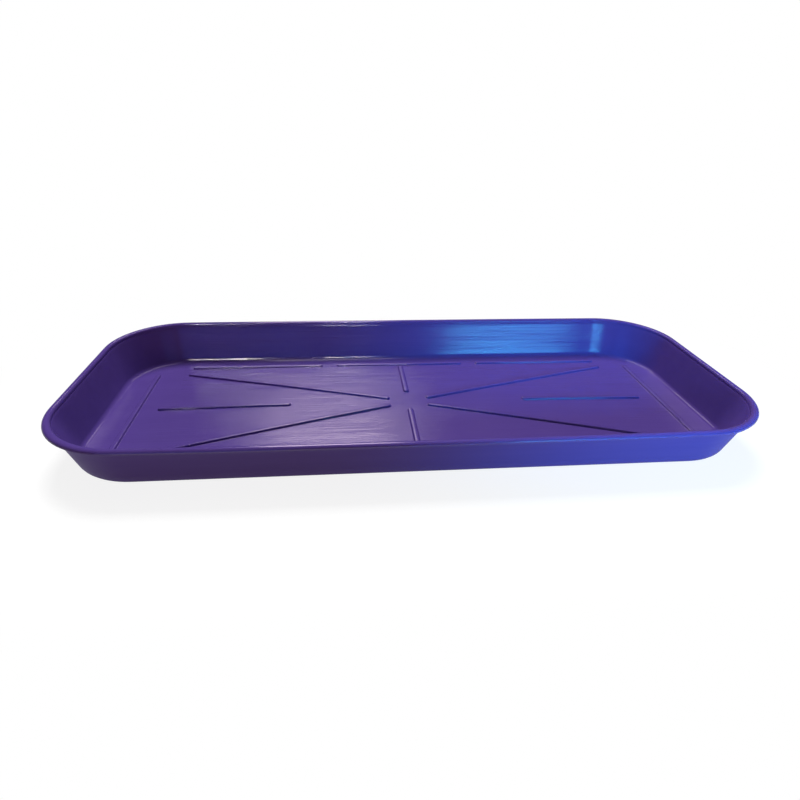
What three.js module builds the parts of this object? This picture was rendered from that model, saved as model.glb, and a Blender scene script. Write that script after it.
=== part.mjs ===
// A plant saucer: a shallow rectangular tray moulded in glossy violet polypropylene.
// Millimetres, +Z up. The origin is the centre of the underside, +X runs along the
// long side and +Y towards the back.
import * as THREE from "three";

// Overall size
const RIM_LENGTH = 550;
const RIM_WIDTH = 235;
const TOTAL_HEIGHT = 39;
const RIM_CORNER_RADIUS = 62;

// Floor and wall
const FLOOR_THICKNESS = 2;
const WALL_THICKNESS = 1.6;
const WALL_LEAN = THREE.MathUtils.degToRad(18); // outwards from the vertical
const FLOOR_SIDE_INSET = 20.5; // from the edge of the rim in to the flat floor, on the long sides
const FLOOR_END_INSET = 18.4; // the same at the short ends
const FLOOR_CORNER_RADIUS = 48.3;
const FLOOR_FILLET_RADIUS = 5;
const BASE_ROUND_RADIUS = 6; // outside, where the wall meets the underside

// Rolled rim
const LIP_WIDTH = 5.5;
const LIP_DEPTH = 2.3;
const LIP_BEAD_HEIGHT = 1.7;
const LIP_EDGE_CHAMFER = 0.5;
const LIP_FILLET_RADIUS = 2; // under the lip, where it meets the wall

// Ribs on the floor: low flat-topped beads with round ends, given by where their ends reach
const RIB_WIDTH = 6.2;
const RIB_HEIGHT = 1.8;
const RIB_CREST_WIDTH = 3; // flat top
const BORDER_RIB_Y = 82.5;
const BORDER_RIB_MIDDLE_END = 65;
const BORDER_RIB_SIDE_START = 78.5;
const BORDER_RIB_SIDE_END = 207;
const END_RIB_X = 236;
const END_RIB_REACH = 69.5;
const CENTRE_RIB_START = 104;
const CENTRE_RIB_END = 219;
const DIAGONAL_RIB_START = new THREE.Vector2(16, 6);
const DIAGONAL_RIB_END = new THREE.Vector2(208, 68);
const REAR_CROSS_RIB_START = 17;
const FRONT_CROSS_RIB_START = 12.5;
const RIB_GAP = 0.3; // between a cross rib and the border rib that it runs up to

// Smoothness of the curves
const CORNER_STEPS = 12;
const ARC_STEPS = 6;
const RIB_END_STEPS = 4;
const RIB_CROWN_STEPS = 3;

const LIP_SEAT_Z = TOTAL_HEIGHT - LIP_DEPTH;
const BEAD_Z = TOTAL_HEIGHT - LIP_BEAD_HEIGHT;

const violet = new THREE.MeshStandardMaterial({
  color: 0x573f8b,
  roughness: 0.35,
  metalness: 0,
});

// A rounded rectangle at one height, anticlockwise seen from above.
function outline(halfLength, halfWidth, radius, z, steps) {
  const points = [];
  for (let corner = 0; corner < 4; corner++) {
    const centreX = (halfLength - radius) * (corner === 0 || corner === 3 ? 1 : -1);
    const centreY = (halfWidth - radius) * (corner < 2 ? 1 : -1);
    for (let step = 0; step <= steps; step++) {
      const angle = ((corner + step / steps) * Math.PI) / 2;
      const x = centreX + radius * Math.cos(angle);
      const y = centreY + radius * Math.sin(angle);
      points.push(new THREE.Vector3(x, y, z));
    }
  }
  return points;
}

// The tray's outline at an inset from the edge of the rim. The inset is measured on the
// long sides: it is a little smaller at the ends, and the corners tighten towards the floor.
function trayOutline(inset, z) {
  const share = inset / FLOOR_SIDE_INSET;
  const halfLength = RIM_LENGTH / 2 - share * FLOOR_END_INSET;
  const halfWidth = RIM_WIDTH / 2 - inset;
  const radius = THREE.MathUtils.lerp(RIM_CORNER_RADIUS, FLOOR_CORNER_RADIUS, share);
  return outline(halfLength, halfWidth, radius, z, CORNER_STEPS);
}

// A surface through a stack of rings. Either the last ring joins the first one, as in a
// hoop, or flat faces close both ends.
function loft(rings, isHoop) {
  const count = rings[0].length;
  const index = [];
  const spans = isHoop ? rings.length : rings.length - 1;
  for (let ring = 0; ring < spans; ring++) {
    const low = ring * count;
    const high = ((ring + 1) % rings.length) * count;
    for (let a = 0; a < count; a++) {
      const b = (a + 1) % count;
      index.push(low + a, low + b, high + b);
      index.push(low + a, high + b, high + a);
    }
  }
  const top = (rings.length - 1) * count;
  for (let a = 1; a < count - 1 && !isHoop; a++) {
    index.push(0, a + 1, a);
    index.push(top, top + a, top + a + 1);
  }
  const geometry = new THREE.BufferGeometry().setFromPoints(rings.flat());
  geometry.setIndex(index);
  geometry.computeVertexNormals();
  return geometry;
}

// A hoop round the tray, from its section. The section's x is the inset from the rim's
// edge and its y is the height. It runs up the outer face and down the inner one, and
// ends on the point where it starts.
function hoop(section) {
  const points = section.getPoints(ARC_STEPS / 2).slice(0, -1);
  return loft(points.map((point) => trayOutline(point.x, point.y)), true);
}

// How far a rounding of this radius reaches along the level face that it joins to the wall.
function roundingReach(radius) {
  return radius * Math.tan(Math.PI / 4 - WALL_LEAN / 2);
}

function wallInnerInset(z) {
  const foot = FLOOR_SIDE_INSET - roundingReach(FLOOR_FILLET_RADIUS);
  return foot - (z - FLOOR_THICKNESS) * Math.tan(WALL_LEAN);
}

function wallOuterInset(z) {
  return wallInnerInset(z) - WALL_THICKNESS / Math.cos(WALL_LEAN);
}

// The rounding under the tray's edge: its centre line, and the angle at which it comes up
// to the top of the floor panel.
const baseRoundInset = wallOuterInset(0) + roundingReach(BASE_ROUND_RADIUS);
const floorEdgeAngle = Math.PI + Math.asin(1 - FLOOR_THICKNESS / BASE_ROUND_RADIUS);

function floorPanel() {
  const edge = new THREE.Path();
  edge.absarc(
    baseRoundInset,
    BASE_ROUND_RADIUS,
    BASE_ROUND_RADIUS,
    1.5 * Math.PI,
    floorEdgeAngle,
    true,
  );
  const points = edge.getPoints(ARC_STEPS / 2);
  return loft(points.map((point) => trayOutline(point.x, point.y)), false);
}

function sideWall() {
  const lipFilletInset = wallOuterInset(LIP_SEAT_Z) - roundingReach(LIP_FILLET_RADIUS);
  const lipFilletZ = LIP_SEAT_Z - LIP_FILLET_RADIUS;
  const floorFilletZ = FLOOR_THICKNESS + FLOOR_FILLET_RADIUS;
  const section = new THREE.Path();
  section.moveTo(lipFilletInset, LIP_SEAT_Z);
  section.lineTo(wallInnerInset(LIP_SEAT_Z), LIP_SEAT_Z);
  section.absarc(
    FLOOR_SIDE_INSET,
    floorFilletZ,
    FLOOR_FILLET_RADIUS,
    Math.PI + WALL_LEAN,
    1.5 * Math.PI,
    false,
  );
  section.absarc(
    baseRoundInset,
    BASE_ROUND_RADIUS,
    BASE_ROUND_RADIUS,
    floorEdgeAngle,
    Math.PI + WALL_LEAN,
    true,
  );
  section.absarc(lipFilletInset, lipFilletZ, LIP_FILLET_RADIUS, WALL_LEAN, Math.PI / 2, false);
  return hoop(section);
}

function rimLip() {
  const beadReach = LIP_WIDTH / 2;
  const section = new THREE.Path();
  section.moveTo(LIP_EDGE_CHAMFER, LIP_SEAT_Z);
  section.lineTo(0, LIP_SEAT_Z + LIP_EDGE_CHAMFER);
  section.absellipse(beadReach, BEAD_Z, beadReach, LIP_BEAD_HEIGHT, Math.PI, 0, true);
  section.lineTo(wallInnerInset(LIP_SEAT_Z), LIP_SEAT_Z);
  section.lineTo(LIP_EDGE_CHAMFER, LIP_SEAT_Z);
  return hoop(section);
}

// A bead along X on the plane z = 0, with rounded flanks, a flat crest and round ends.
function bead(length) {
  const rings = [];
  for (let step = 0; step <= RIB_CROWN_STEPS; step++) {
    const angle = (step / RIB_CROWN_STEPS) * (Math.PI / 2);
    const halfWidth = (RIB_CREST_WIDTH + (RIB_WIDTH - RIB_CREST_WIDTH) * Math.cos(angle)) / 2;
    const halfLength = length / 2 - RIB_WIDTH / 2 + halfWidth;
    const z = RIB_HEIGHT * Math.sin(angle);
    rings.push(outline(halfLength, halfWidth, halfWidth, z, RIB_END_STEPS));
  }
  return loft(rings, false);
}

const saucer = new THREE.Group();

function addPiece(name, geometry) {
  const mesh = new THREE.Mesh(geometry, violet.clone());
  mesh.name = name;
  saucer.add(mesh);
  return mesh;
}

function addRib(name, startX, startY, endX, endY) {
  const length = Math.hypot(endX - startX, endY - startY);
  const mesh = addPiece(name, bead(length));
  mesh.position.set((startX + endX) / 2, (startY + endY) / 2, FLOOR_THICKNESS);
  mesh.rotation.z = Math.atan2(endY - startY, endX - startX);
}

addPiece("floor_panel", floorPanel());
addPiece("side_wall", sideWall());
addPiece("rim_lip", rimLip());

const crossRibEnd = BORDER_RIB_Y - RIB_WIDTH / 2 - RIB_GAP;
const sides = [["left", -1], ["right", 1]];
const rows = [["rear", 1, REAR_CROSS_RIB_START], ["front", -1, FRONT_CROSS_RIB_START]];

for (const [row, toBack, crossStart] of rows) {
  const y = toBack * BORDER_RIB_Y;
  addRib(row + "_border_rib_middle", -BORDER_RIB_MIDDLE_END, y, BORDER_RIB_MIDDLE_END, y);
  addRib(row + "_cross_rib", 0, toBack * crossStart, 0, toBack * crossRibEnd);
  for (const [side, toRight] of sides) {
    addRib(
      row + "_border_rib_" + side,
      toRight * BORDER_RIB_SIDE_START,
      y,
      toRight * BORDER_RIB_SIDE_END,
      y,
    );
    addRib(
      row + "_" + side + "_diagonal_rib",
      toRight * DIAGONAL_RIB_START.x,
      toBack * DIAGONAL_RIB_START.y,
      toRight * DIAGONAL_RIB_END.x,
      toBack * DIAGONAL_RIB_END.y,
    );
  }
}

for (const [side, toRight] of sides) {
  addRib(side + "_centre_rib", toRight * CENTRE_RIB_START, 0, toRight * CENTRE_RIB_END, 0);
  addRib(side + "_end_rib", toRight * END_RIB_X, -END_RIB_REACH, toRight * END_RIB_X, END_RIB_REACH);
}

export default saucer;
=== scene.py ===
import math

import bmesh
import bpy
from mathutils import Matrix, Vector


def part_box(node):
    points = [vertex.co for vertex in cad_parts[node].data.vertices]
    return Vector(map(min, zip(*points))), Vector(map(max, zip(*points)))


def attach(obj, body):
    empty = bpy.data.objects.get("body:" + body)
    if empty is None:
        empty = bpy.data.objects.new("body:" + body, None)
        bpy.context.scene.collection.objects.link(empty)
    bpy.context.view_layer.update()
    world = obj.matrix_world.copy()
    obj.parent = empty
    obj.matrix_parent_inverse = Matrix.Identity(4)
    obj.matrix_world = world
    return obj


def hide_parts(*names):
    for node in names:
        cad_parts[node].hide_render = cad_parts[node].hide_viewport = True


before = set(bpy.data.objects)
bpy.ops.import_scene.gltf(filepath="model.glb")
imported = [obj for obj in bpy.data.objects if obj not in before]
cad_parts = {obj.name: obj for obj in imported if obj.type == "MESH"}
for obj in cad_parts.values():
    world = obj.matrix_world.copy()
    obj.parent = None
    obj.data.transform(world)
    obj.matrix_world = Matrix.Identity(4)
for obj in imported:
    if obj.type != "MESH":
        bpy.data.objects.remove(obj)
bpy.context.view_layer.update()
mm = 0.001
print("frame loaded,", len(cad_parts), "nodes")


# Tools that every piece uses

def clearSelection():
    if bpy.context.mode != "OBJECT":
        bpy.ops.object.mode_set(mode="OBJECT")
    bpy.ops.object.select_all(action="DESELECT")


def startFromPlane(name, halfLength, halfWidth, height, cornerRadius, cornerSteps):
    clearSelection()
    bpy.ops.mesh.primitive_plane_add(size=2, location=(0, 0, height))
    piece = bpy.context.object
    piece.name = name
    piece.data.name = name
    piece.scale = (halfLength, halfWidth, 1)
    bpy.ops.object.transform_apply(location=True, rotation=True, scale=True)
    bpy.ops.object.mode_set(mode="EDIT")
    bpy.ops.mesh.select_all(action="SELECT")
    bpy.ops.mesh.bevel(offset=cornerRadius, segments=cornerSteps, affect="VERTICES")
    return piece


def finishPiece(piece, smoothAngle, nodes):
    bpy.ops.object.mode_set(mode="EDIT")
    bpy.ops.mesh.select_all(action="SELECT")
    bpy.ops.mesh.normals_make_consistent(inside=False)
    bpy.ops.object.mode_set(mode="OBJECT")
    bpy.ops.object.shade_smooth_by_angle(angle=math.radians(smoothAngle))
    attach(piece, "root")
    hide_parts(*nodes)
    return piece


# The tray: floor, walls and rolled rim are one moulding, drawn as rings from the middle of the floor
# over the rim to the middle of the underside

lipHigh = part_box("rim_lip")[1]
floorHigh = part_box("floor_panel")[1]

tray = {
    "rimHalfLength": lipHigh.x,
    "rimHalfWidth": lipHigh.y,
    "rimTop": lipHigh.z,
    "floorTop": floorHigh.z,
    "rimCorner": 62 * mm,
    "floorCorner": 48.3 * mm,
    "floorSideInset": 20.5 * mm,
    "floorEndInset": 18.4 * mm,
    "floorFillet": 5 * mm,
    "wallLean": math.radians(18),
    "wallThickness": 1.6 * mm,
    "floorCrown": 2.7 * mm,       # the floor is bowed upwards in the middle
    "frontBow": 3.6 * mm,         # and the long sides lean outwards there, most at the rim
    "rearBow": 0.9 * mm,
    "stepHeight": 34.6 * mm,      # soft step where the wall meets the rim, inside
    "flankInset": 5.75 * mm,      # steep inner flank of the rim
    "flankTop": 36.6 * mm,
    "crestInset": 3 * mm,
    "edgeTop": 36.5 * mm,         # outer edge of the rim
    "edgeRound": 1.2 * mm,
    "lipSeat": 35.3 * mm,         # underside of the rim
    "lipFillet": 2 * mm,
    "baseRound": 6 * mm,
    "footInset": 22.5 * mm,       # where the flat underside starts
    "floorRings": (0.05, 0.14, 0.26, 0.38, 0.5, 0.62, 0.73, 0.83, 0.91, 0.97),  # outwards
    "wallRings": (0.25, 0.5, 0.75, 0.92, 1),                                    # up the inside
    "stepRings": ((0.3, 0.35 * mm), (0.6, 0.58 * mm), (0.85, 0.8 * mm), (0.97, 1.1 * mm)),
    "outsideRings": (0.25, 0.5, 0.75),                                          # down the outside
    "undersideRings": (0.96, 0.88, 0.76, 0.6, 0.42, 0.24, 0.08),                # inwards
    "floorFilletSteps": 10,
    "crestSteps": 10,
    "edgeSteps": 8,
    "edgeRoundSteps": 4,
    "lipFilletSteps": 6,
    "baseRoundSteps": 5,
    "cornerSteps": 20,
    "longCuts": 43,
    "shortCuts": 17,
    "cutTolerance": 0.02 * mm,
    "smoothAngle": 60,
}


def trayRing(inset):
    share = inset / tray["floorSideInset"]
    return {
        "halfLength": tray["rimHalfLength"] - share * tray["floorEndInset"],
        "halfWidth": tray["rimHalfWidth"] - inset,
        "corner": tray["rimCorner"] + share * (tray["floorCorner"] - tray["rimCorner"]),
        "height": 0,
        "crown": 0,
    }


def scaledRing(ring, share):
    return {key: value * share for key, value in ring.items()}


def floorCrown(x, y):
    edge = trayRing(tray["floorSideInset"])
    alongX = max(0, 1 - abs(x / edge["halfLength"]) ** 3)
    alongY = max(0, 1 - (y / edge["halfWidth"]) ** 2)
    return tray["floorCrown"] * alongX * alongY


def sideBow(x, y, z):
    straight = tray["rimHalfLength"] - tray["rimCorner"] / 2
    bow = tray["rearBow"] if y > 0 else tray["frontBow"]
    bow *= max(0, 1 - (x / straight) ** 4)
    return bow * y / tray["rimHalfWidth"] * z / tray["rimTop"]


def arc(centre, radius, startAngle, endAngle, steps):
    points = []
    for step in range(steps + 1):
        angle = math.radians(startAngle + (endAngle - startAngle) * step / steps)
        points.append((centre[0] + radius * math.cos(angle), centre[1] + radius * math.sin(angle)))
    return points


def ellipseArc(centre, reach, rise, startAngle, endAngle, steps):
    points = arc((0, 0), 1, startAngle, endAngle, steps)
    return [(centre[0] + reach * x, centre[1] + rise * z) for x, z in points]


def traySection():
    lean = math.degrees(tray["wallLean"])
    slope = math.tan(tray["wallLean"])
    fillet = tray["floorFillet"]
    filletCentre = (tray["floorSideInset"], tray["floorTop"] + fillet)
    section = arc(filletCentre, fillet, 270, 180 + lean, tray["floorFilletSteps"])
    wallFoot, wallFootHeight = section[-1]

    def innerFace(height):
        return wallFoot - (height - wallFootHeight) * slope

    def outerFace(height):
        return innerFace(height) - tray["wallThickness"] / math.cos(tray["wallLean"])

    stepHeight = tray["stepHeight"]
    for share in tray["wallRings"]:
        height = wallFootHeight + share * (stepHeight - wallFootHeight)
        section.append((innerFace(height), height))
    flank = tray["flankInset"]
    stepWidth = innerFace(stepHeight) - flank
    for across, up in tray["stepRings"]:
        section.append((flank + stepWidth * (1 - across), stepHeight + up))
    crest = tray["crestInset"]
    rimTop = tray["rimTop"]
    flankTop = tray["flankTop"]
    edgeTop = tray["edgeTop"]
    section += ellipseArc((crest, flankTop), flank - crest, rimTop - flankTop, 0, 90, tray["crestSteps"])
    section += ellipseArc((crest, edgeTop), crest, rimTop - edgeTop, 90, 180, tray["edgeSteps"])[1:]
    edgeRound = tray["edgeRound"]
    seat = tray["lipSeat"]
    section += arc((edgeRound, seat + edgeRound), edgeRound, 180, 270, tray["edgeRoundSteps"])
    underFillet = tray["lipFillet"]
    reach = underFillet * math.tan(math.radians(45 - lean / 2))
    underCentre = (outerFace(seat) - reach, seat - underFillet)
    section += arc(underCentre, underFillet, 90, lean, tray["lipFilletSteps"])
    baseRound = tray["baseRound"]
    wallEnd = section[-1][1]
    for share in tray["outsideRings"]:
        height = wallEnd * (1 - share)
        section.append((outerFace(height), height))
    baseReach = baseRound * math.tan(math.radians(45 - lean / 2))
    baseCentre = (outerFace(0) + baseReach, baseRound)
    section += arc(baseCentre, baseRound, 180 + lean, 270, tray["baseRoundSteps"])
    section.append((tray["footInset"], 0))
    return section


def trayRings():
    floorEdge = trayRing(tray["floorSideInset"])
    rings = []
    for share in tray["floorRings"]:
        ring = scaledRing(floorEdge, share)
        ring["height"] = tray["floorTop"]
        ring["crown"] = 1
        rings.append(ring)
    for inset, height in traySection():
        ring = trayRing(inset)
        ring["height"] = height
        rings.append(ring)
    footprint = trayRing(tray["footInset"])
    for share in tray["undersideRings"]:
        ring = scaledRing(footprint, share)
        ring["crown"] = 1 - share ** 8
        rings.append(ring)
    return rings


def moveRing(verts, old, new):
    oldCore = (old["halfLength"] - old["corner"], old["halfWidth"] - old["corner"])
    newCore = (new["halfLength"] - new["corner"], new["halfWidth"] - new["corner"])
    for vert in verts:
        core = [max(-limit, min(limit, value)) for limit, value in zip(oldCore, vert.co)]
        spread = [(value - inside) / old["corner"] for value, inside in zip(vert.co, core)]
        x, y = [
            inside / limit * newLimit + part * new["corner"]
            for inside, limit, newLimit, part in zip(core, oldCore, newCore, spread)
        ]
        vert.co = (x, y, new["height"] + new["crown"] * floorCrown(x, y))


def mouldTray():
    rings = trayRings()
    first = rings[0]
    piece = startFromPlane(
        "saucer_tray", first["halfLength"], first["halfWidth"], first["height"],
        first["corner"], tray["cornerSteps"],
    )
    bpy.ops.mesh.delete(type="ONLY_FACE")
    shell = bmesh.from_edit_mesh(piece.data)
    for axis, cuts in ((0, tray["longCuts"]), (1, tray["shortCuts"])):  # divide the straight sides
        bpy.ops.mesh.select_all(action="DESELECT")
        core = (first["halfLength"], first["halfWidth"])[axis] - first["corner"]
        for edge in shell.edges:
            run = abs(edge.verts[0].co[axis] - edge.verts[1].co[axis])
            edge.select_set(abs(run - 2 * core) < tray["cutTolerance"])
        bpy.ops.mesh.subdivide(number_cuts=cuts)
        shell = bmesh.from_edit_mesh(piece.data)
    bpy.ops.mesh.select_all(action="SELECT")
    moveRing(shell.verts, first, first)
    bpy.ops.mesh.edge_face_add()                               # closes the middle of the floor
    for old, new in zip(rings, rings[1:]):
        bpy.ops.mesh.extrude_edges_move()
        shell = bmesh.from_edit_mesh(piece.data)
        moveRing([vert for vert in shell.verts if vert.select], old, new)
        bmesh.update_edit_mesh(piece.data)
    bpy.ops.mesh.edge_face_add()                               # closes the underside
    shell = bmesh.from_edit_mesh(piece.data)
    for vert in shell.verts:
        vert.co.y += sideBow(*vert.co)
    bmesh.update_edit_mesh(piece.data)
    return finishPiece(piece, tray["smoothAngle"], ["floor_panel", "side_wall", "rim_lip"])


trayPiece = mouldTray()
print("tray moulded,", len(trayPiece.data.polygons), "faces")


# Ribs on the floor: low beads with rounded shoulders, a flat crest and round ends

rib = {
    "width": 6.2 * mm,
    "endRadius": 2.9 * mm,
    "endSteps": 8,
    "sunk": 0.8 * mm,             # how deep its foot stands in the floor
    "station": 11 * mm,           # cuts along the rib, so that it bends with the floor
    "flank": (                    # steps in and up, from the foot to the crest
        (0.55 * mm, 0.08 * mm),
        (0.2 * mm, 0.27 * mm),
        (0.25 * mm, 0.75 * mm),
        (0.2 * mm, 0.35 * mm),
        (0.3 * mm, 0.22 * mm),
        (0.4 * mm, 0.13 * mm),
    ),
    "smoothAngle": 50,
}


def mouldRib(node, start, end):
    start = Vector(start)
    end = Vector(end)
    along = end - start
    halfLength = along.length / 2
    piece = startFromPlane(
        node + "_moulded", halfLength, rib["width"] / 2, -rib["sunk"],
        rib["endRadius"], rib["endSteps"],
    )
    cuts = max(1, round(along.length / rib["station"]))
    for cut in range(1, cuts):
        bpy.ops.mesh.select_all(action="SELECT")
        place = -halfLength + along.length * cut / cuts
        bpy.ops.mesh.bisect(plane_co=(place, 0, 0), plane_no=(1, 0, 0))
    bpy.ops.mesh.select_all(action="SELECT")
    bpy.ops.mesh.extrude_region_move(TRANSFORM_OT_translate={"value": (0, 0, rib["sunk"])})
    for inwards, upwards in rib["flank"]:
        bpy.ops.mesh.inset(thickness=inwards, depth=upwards)
    bpy.ops.object.mode_set(mode="OBJECT")
    piece.rotation_euler.z = math.atan2(along.y, along.x)
    piece.location = (*(start + end) / 2, tray["floorTop"])
    bpy.ops.object.transform_apply(location=True, rotation=True, scale=True)
    for vert in piece.data.vertices:
        vert.co.z += floorCrown(vert.co.x, vert.co.y)
    return finishPiece(piece, rib["smoothAngle"], [node])


def ribLine(node):
    low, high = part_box(node)
    if "diagonal" in node:
        halfWidth = rib["width"] / 2
        risesRight = node.startswith("rear") == ("right" in node)
        lowY, highY = (low.y, high.y) if risesRight else (high.y, low.y)
        inwards = halfWidth if risesRight else -halfWidth
        lowEnd = Vector((low.x + halfWidth, lowY + inwards))   # centres of the round ends
        highEnd = Vector((high.x - halfWidth, highY - inwards))
        outwards = (highEnd - lowEnd).normalized() * halfWidth
        return lowEnd - outwards, highEnd + outwards
    middle = (low + high) / 2
    if high.x - low.x > high.y - low.y:
        return (low.x, middle.y), (high.x, middle.y)
    return (middle.x, low.y), (middle.x, high.y)


ribPieces = []
for node in sorted(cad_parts):
    if node.endswith("_rib") or "_border_rib_" in node:
        ribPieces.append(mouldRib(node, *ribLine(node)))
print("ribs moulded,", len(ribPieces))


# Shader sockets as values

class Sock:
    def __init__(self, tree, socket=None):
        self.tree = tree
        self.socket = socket

    def add(self, kind, settings, sockets, out=0):
        node = self.tree.nodes.new(kind)
        for key, value in settings.items():
            setattr(node, key, value)
        for key, value in sockets.items():
            if isinstance(value, Sock):
                self.tree.links.new(value.socket, node.inputs[key])
            else:
                node.inputs[key].default_value = value
        return Sock(self.tree, node.outputs[out] if len(node.outputs) else None)

    def maths(self, operation, first, second):
        return self.add("ShaderNodeMath", {"operation": operation}, {0: first, 1: second})

    def __add__(self, other):
        return self.maths("ADD", self, other)

    def __radd__(self, other):
        return self.maths("ADD", other, self)

    def __sub__(self, other):
        return self.maths("SUBTRACT", self, other)

    def __rsub__(self, other):
        return self.maths("SUBTRACT", other, self)

    def __mul__(self, other):
        return self.maths("MULTIPLY", self, other)

    def __rmul__(self, other):
        return self.maths("MULTIPLY", other, self)


def srgb(red, green, blue):
    def linear(value):
        value /= 255
        return value / 12.92 if value <= 0.04045 else ((value + 0.055) / 1.055) ** 2.4

    return linear(red), linear(green), linear(blue), 1


# Violet moulded plastic

violetPlastic = {
    "colour": srgb(85, 64, 139),
    "paleColour": srgb(112, 92, 158),
    "deepColour": srgb(78, 57, 130),
    "inside": {"roughness": 0.125, "specular": 0.5, "endSpecular": 0.12, "tooling": 0.28},
    "outside": {"roughness": 0.5, "specular": 0.12, "endSpecular": 0.12, "tooling": 0.04},
    "wallStart": -12 * mm,        # past the floor's edge, from here its lines give way to the walls'
    "wallFull": 0,
    "hoopsStart": 6 * mm,         # and these run from above the fillet to below the rim
    "hoopsFull": 10 * mm,
    "rimStart": 34.5 * mm,
    "rimFull": 36 * mm,
    "leftEndStart": -205 * mm,    # the ends are duller
    "leftEndFull": -233 * mm,
    "rightEndStart": 240 * mm,
    "rightEndFull": 253 * mm,
    "outsideBelow": -0.02,        # faces that look further down than this have the outside finish
    "refraction": 1.49,
    "bumpHeight": 1 * mm,
}

marks = {
    # tooling lines along the floor and round the walls, and where they are worn
    "lines": {"size": 0.6 * mm, "stretch": (0.004, 1, 0.01), "detail": 1, "low": 0, "high": 1},
    "hoops": {
        "size": 1 * mm, "stretch": (0.006, 0.006, 1), "detail": 1, "low": 0, "high": 1,
        "rise": 0.7,
    },
    "patches": {
        "size": 30 * mm, "stretch": (0.6, 1, 1), "detail": 3, "low": 0.3, "high": 0.7,
        "worn": 0.7, "fresh": 0.5,
    },
    # flow marks, and marks of handling
    "streaks": {
        "size": 9 * mm, "stretch": (0.05, 1, 1), "detail": 4, "low": 0.35, "high": 0.65,
        "tint": 0.25, "dull": 0.03,
    },
    "smudges": {
        "size": 45 * mm, "stretch": (1, 1, 1), "detail": 4, "low": 0.45, "high": 0.75,
        "tint": 0.05, "dull": 0.05,
    },
    # texture of the mould, and gentle unevenness of the sheet
    "grain": {
        "size": 0.9 * mm, "stretch": (1, 1, 1), "detail": 2, "low": 0.2, "high": 0.8,
        "rise": 0.003,
    },
    "ripple": {
        "size": 26 * mm, "stretch": (0.5, 1.6, 1), "detail": 1, "low": 0.2, "high": 0.8,
        "rise": 0.12,
    },
}


def pastFloorEdge(bench, place):
    edge = trayRing(tray["floorSideInset"])
    core = (edge["halfLength"] - edge["corner"], edge["halfWidth"] - edge["corner"], 0)
    flat = bench.add("ShaderNodeVectorMath", {"operation": "MULTIPLY"}, {0: place, 1: (1, 1, 0)})
    spread = bench.add("ShaderNodeVectorMath", {"operation": "ABSOLUTE"}, {0: flat})
    spread = bench.add("ShaderNodeVectorMath", {"operation": "SUBTRACT"}, {0: spread, 1: core})
    spread = bench.add("ShaderNodeVectorMath", {"operation": "MAXIMUM"}, {0: spread, 1: (0, 0, 0)})
    reach = bench.add("ShaderNodeVectorMath", {"operation": "LENGTH"}, {0: spread}, "Value")
    return reach - edge["corner"]


def mouldedPlastic(name, finish):
    material = bpy.data.materials.new(name)
    material.use_nodes = True
    tree = material.node_tree
    tree.nodes.clear()
    bench = Sock(tree)
    place = bench.add("ShaderNodeTexCoord", {}, {}, "Object")

    def noise(mark):
        spot = bench.add("ShaderNodeMapping", {}, {"Vector": place, "Scale": mark["stretch"]})
        value = bench.add(
            "ShaderNodeTexNoise", {},
            {"Vector": spot, "Scale": 1 / mark["size"], "Detail": mark["detail"]},
        )
        return bench.add(
            "ShaderNodeMapRange", {},
            {"Value": value, "From Min": mark["low"], "From Max": mark["high"]},
        )

    level = bench.add("ShaderNodeSeparateXYZ", {}, {0: place}, "Z")
    upWall = bench.add(
        "ShaderNodeMapRange", {},
        {
            "Value": pastFloorEdge(bench, place),
            "From Min": violetPlastic["wallStart"], "From Max": violetPlastic["wallFull"],
        },
    )
    aboveFillet = bench.add(
        "ShaderNodeMapRange", {},
        {"Value": level, "From Min": violetPlastic["hoopsStart"], "From Max": violetPlastic["hoopsFull"]},
    )
    belowRim = bench.add(
        "ShaderNodeMapRange", {},
        {"Value": level, "From Min": violetPlastic["rimFull"], "From Max": violetPlastic["rimStart"]},
    )
    along = bench.add("ShaderNodeSeparateXYZ", {}, {0: place}, "X")
    leftEnd, rightEnd = [
        bench.add(
            "ShaderNodeMapRange", {},
            {
                "Value": along,
                "From Min": violetPlastic[side + "Start"], "From Max": violetPlastic[side + "Full"],
            },
        )
        for side in ("leftEnd", "rightEnd")
    ]
    ends = leftEnd + rightEnd
    lines, hoops, patches, streaks, smudges, grain, ripple = [noise(mark) for mark in marks.values()]
    wear = marks["patches"]["worn"] + patches * marks["patches"]["fresh"]
    hoops = (hoops - 0.5) * aboveFillet * belowRim * (1 - ends)
    tooling = lines * (1 - upWall) * wear + hoops * marks["hoops"]["rise"]

    shade = bench.add(
        "ShaderNodeMix", {"data_type": "RGBA"},
        {
            0: streaks * marks["streaks"]["tint"],
            6: violetPlastic["colour"], 7: violetPlastic["deepColour"],
        },
        2,
    )
    shade = bench.add(
        "ShaderNodeMix", {"data_type": "RGBA"},
        {0: smudges * marks["smudges"]["tint"], 6: shade, 7: violetPlastic["paleColour"]},
        2,
    )
    dullness = streaks * marks["streaks"]["dull"] + smudges * marks["smudges"]["dull"]
    roughness = finish["roughness"] + dullness
    unevenness = grain * marks["grain"]["rise"] + ripple * marks["ripple"]["rise"]
    height = tooling * finish["tooling"] + unevenness
    normal = bench.add(
        "ShaderNodeBump", {},
        {"Height": height, "Strength": 1, "Distance": violetPlastic["bumpHeight"]},
    )
    middle, end = [
        bench.add(
            "ShaderNodeBsdfPrincipled", {},
            {
                "Base Color": shade, "Roughness": roughness, "Normal": normal,
                "IOR": violetPlastic["refraction"], "Specular IOR Level": finish[specular],
            },
        )
        for specular in ("specular", "endSpecular")
    ]
    shader = bench.add("ShaderNodeMixShader", {}, {0: ends, 1: middle, 2: end})
    bench.add("ShaderNodeOutputMaterial", {}, {"Surface": shader})
    return material


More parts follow.
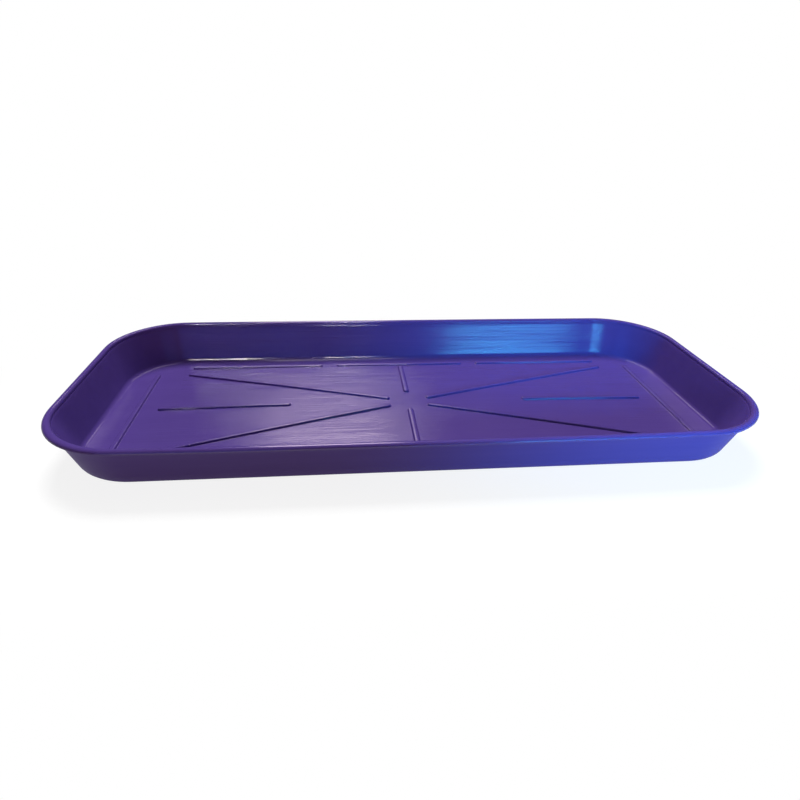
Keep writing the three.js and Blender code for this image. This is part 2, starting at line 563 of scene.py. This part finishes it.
insideFinish = mouldedPlastic("violet_inside", violetPlastic["inside"])
outsideFinish = mouldedPlastic("violet_outside", violetPlastic["outside"])

trayPiece.data.materials.append(insideFinish)
trayPiece.data.materials.append(outsideFinish)
for face in trayPiece.data.polygons:
    isOutside = face.normal.z < violetPlastic["outsideBelow"]
    face.material_index = 1 if isOutside else 0
for piece in ribPieces:
    piece.data.materials.append(insideFinish)
print("finishes given")


# Pale floor that keeps the tray's shadow and is plain white further away

ground = {
    "radius": 4,
    "sides": 96,
    "colour": (0.2, 0.2, 0.2, 1),
    "glow": 0.86,                 # what it shows besides the light that falls on it
    "shadowReach": 0,             # from the foot of the tray
    "whiteReach": 0.14,
}


def layGround():
    clearSelection()
    bpy.ops.mesh.primitive_circle_add(vertices=ground["sides"], radius=ground["radius"], fill_type="NGON")
    piece = bpy.context.object
    piece.name = "ground"
    material = bpy.data.materials.new("pale_ground")
    material.use_nodes = True
    tree = material.node_tree
    tree.nodes.clear()
    bench = Sock(tree)
    place = bench.add("ShaderNodeTexCoord", {}, {}, "Object")
    far = bench.add(
        "ShaderNodeMapRange", {"interpolation_type": "SMOOTHSTEP"},
        {
            "Value": pastFloorEdge(bench, place),
            "From Min": ground["shadowReach"], "From Max": ground["whiteReach"],
        },
    )
    path = bench.add("ShaderNodeLightPath", {}, {}, "Is Camera Ray")
    outputs = path.socket.node.outputs
    seen = path + Sock(tree, outputs["Is Glossy Ray"]) + Sock(tree, outputs["Is Transmission Ray"])
    paint = bench.add("ShaderNodeBsdfDiffuse", {}, {"Color": ground["colour"]})
    glow = bench.add("ShaderNodeEmission", {}, {"Color": (1, 1, 1, 1), "Strength": ground["glow"]})
    white = bench.add("ShaderNodeEmission", {}, {"Color": (1, 1, 1, 1), "Strength": 1})
    lightened = bench.add("ShaderNodeAddShader", {}, {0: paint, 1: glow})
    shown = bench.add("ShaderNodeMixShader", {}, {0: far, 1: lightened, 2: white})
    mixed = bench.add("ShaderNodeMixShader", {}, {0: seen, 1: paint, 2: shown})
    bench.add("ShaderNodeOutputMaterial", {}, {"Surface": mixed})
    piece.data.materials.append(material)


layGround()


# Dim room that shows white to the camera

room = {
    "dim": (0.012, 0.012, 0.012, 1),
    "horizonBand": 0.02,          # reflections see white up to this height
}


def paintRoom():
    world = bpy.data.worlds.new("room")
    bpy.context.scene.world = world
    world.use_nodes = True
    tree = world.node_tree
    tree.nodes.clear()
    bench = Sock(tree)
    path = bench.add("ShaderNodeLightPath", {}, {}, "Is Camera Ray")
    outputs = path.socket.node.outputs
    reflected = Sock(tree, outputs["Is Glossy Ray"]) + Sock(tree, outputs["Is Transmission Ray"])
    place = bench.add("ShaderNodeTexCoord", {}, {}, "Generated")
    height = bench.add("ShaderNodeSeparateXYZ", {}, {0: place}, "Z")
    low = bench.maths("LESS_THAN", height, room["horizonBand"])
    dim = bench.add("ShaderNodeBackground", {}, {"Color": room["dim"], "Strength": 1})
    white = bench.add("ShaderNodeBackground", {}, {"Color": (1, 1, 1, 1), "Strength": 1})
    mixed = bench.add("ShaderNodeMixShader", {}, {0: path + reflected * low, 1: dim, 2: white})
    bench.add("ShaderNodeOutputWorld", {}, {"Surface": mixed})


paintRoom()


# Studio lamps

lamps = {
    "main": {                     # large soft light, behind and above
        "place": (-0.1, 2.25, 4.05), "aim": (0, 0, 0), "size": (2.1, 1.8),
        "power": 268, "colour": (1, 1, 1), "lights": "surface",
    },
    "front_fill": {
        "place": (0, -3, 0.55), "aim": (0, 0, 0.03), "size": (3, 0.6),
        "power": 29, "colour": (1, 0.78, 0.68), "lights": "surface",
    },
    "blue_fill": {                # cool light low on the right
        "place": (0.32, -0.75, 0.245), "aim": (0.26, -0.05, 0.03), "cone": 48, "radius": 0.07,
        "power": 39, "colour": (0.08, 0.55, 1), "lights": "surface",
    },
    "sheen": {                    # pale panel that the floor of the tray mirrors
        "place": (-0.115, 0.8, 1.15), "aim": (-0.08, 0, 0), "size": (0.44, 0.85),
        "power": 10.8, "colour": (1, 0.83, 0.88), "lights": "gloss",
    },
    "blue_panel": {               # cool panel that the rear wall mirrors
        "place": (0.278, -0.42, 0.155), "aim": (0.12, 0.105, 0.03), "size": (0.24, 0.17), "spread": 44,
        "power": 0.08, "colour": (0.08, 0.5, 1), "lights": "gloss",
    },
    "cool_panel": {               # and a dim one on the left
        "place": (-0.3, -0.42, 0.16), "aim": (-0.15, 0.105, 0.03), "size": (0.34, 0.3),
        "power": 0.4, "colour": (0.06, 0.16, 1), "lights": "gloss",
    },
    "corner_panel": {             # a little blue for the rear left corner
        "place": (0.02, -0.42, 0.16), "aim": (-0.24, 0.06, 0.02), "size": (0.3, 0.3), "spread": 30,
        "power": 0.01, "colour": (0.1, 0.25, 1), "lights": "gloss",
    },
    "glint_far_left": {           # narrow beams that leave bright spots on the rear fillet
        "place": (-0.51, -0.63, 0.92), "aim": (-0.2, 0.09, 0), "size": (0.09, 0.06), "spread": 12,
        "power": 0.018, "colour": (1, 0.95, 0.97), "lights": "gloss",
    },
    "glint_left": {
        "place": (-0.38, -0.635, 0.93), "aim": (-0.13, 0.09, 0), "size": (0.09, 0.06), "spread": 12,
        "power": 0.018, "colour": (1, 0.95, 0.97), "lights": "gloss",
    },
    "glint_right": {
        "place": (-0.06, -0.647, 0.947), "aim": (-0.05, 0.09, 0), "size": (0.09, 0.06), "spread": 12,
        "power": 0.018, "colour": (1, 0.95, 0.97), "lights": "gloss",
    },
}


def hangLamp(name, lamp):
    data = bpy.data.lights.new(name, "AREA" if "size" in lamp else "SPOT")
    data.energy = lamp["power"]
    data.color = lamp["colour"]
    if "size" in lamp:
        data.shape = "RECTANGLE"
        data.size, data.size_y = lamp["size"]
        data.spread = math.radians(lamp.get("spread", 180))
    else:
        data.spot_size = math.radians(lamp["cone"])
        data.spot_blend = 1
        data.shadow_soft_size = lamp["radius"]
    lampObject = bpy.data.objects.new(name, data)
    bpy.context.scene.collection.objects.link(lampObject)
    lampObject.location = lamp["place"]
    aim = Vector(lamp["aim"]) - Vector(lamp["place"])
    lampObject.rotation_euler = aim.to_track_quat("-Z", "Y").to_euler()
    lampObject.visible_camera = False
    lampObject.visible_glossy = lamp["lights"] == "gloss"
    lampObject.visible_diffuse = lamp["lights"] == "surface"


for name, lamp in lamps.items():
    hangLamp(name, lamp)
print("lamps hung,", len(lamps))


# Camera

view = {
    "target": (-6.81 * mm, 8.5 * mm, 2 * mm),
    "azimuth": -6.373,
    "elevation": 28.733,
    "distance": 510.8 * mm,
    "roll": 1.651,
    "lens": 25.07,
    "sensor": 36,
    "clipStart": 0.01,
}


def setCamera():
    azimuth = math.radians(view["azimuth"])
    elevation = math.radians(view["elevation"])
    back = Vector((
        math.sin(azimuth) * math.cos(elevation),
        -math.cos(azimuth) * math.cos(elevation),
        math.sin(elevation),
    ))
    right = Vector((math.cos(azimuth), math.sin(azimuth), 0))
    up = back.cross(right)
    turned = Matrix((right, up, back)).transposed() @ Matrix.Rotation(math.radians(view["roll"]), 3, "Z")
    data = bpy.data.cameras.new("camera")
    data.lens = view["lens"]
    data.sensor_width = view["sensor"]
    data.clip_start = view["clipStart"]
    camera = bpy.data.objects.new("camera", data)
    bpy.context.scene.collection.objects.link(camera)
    place = Vector(view["target"]) + back * view["distance"]
    camera.matrix_world = Matrix.Translation(place) @ turned.to_4x4()
    bpy.context.scene.camera = camera


setCamera()
bpy.context.scene.view_settings.view_transform = "Standard"
print("camera set")
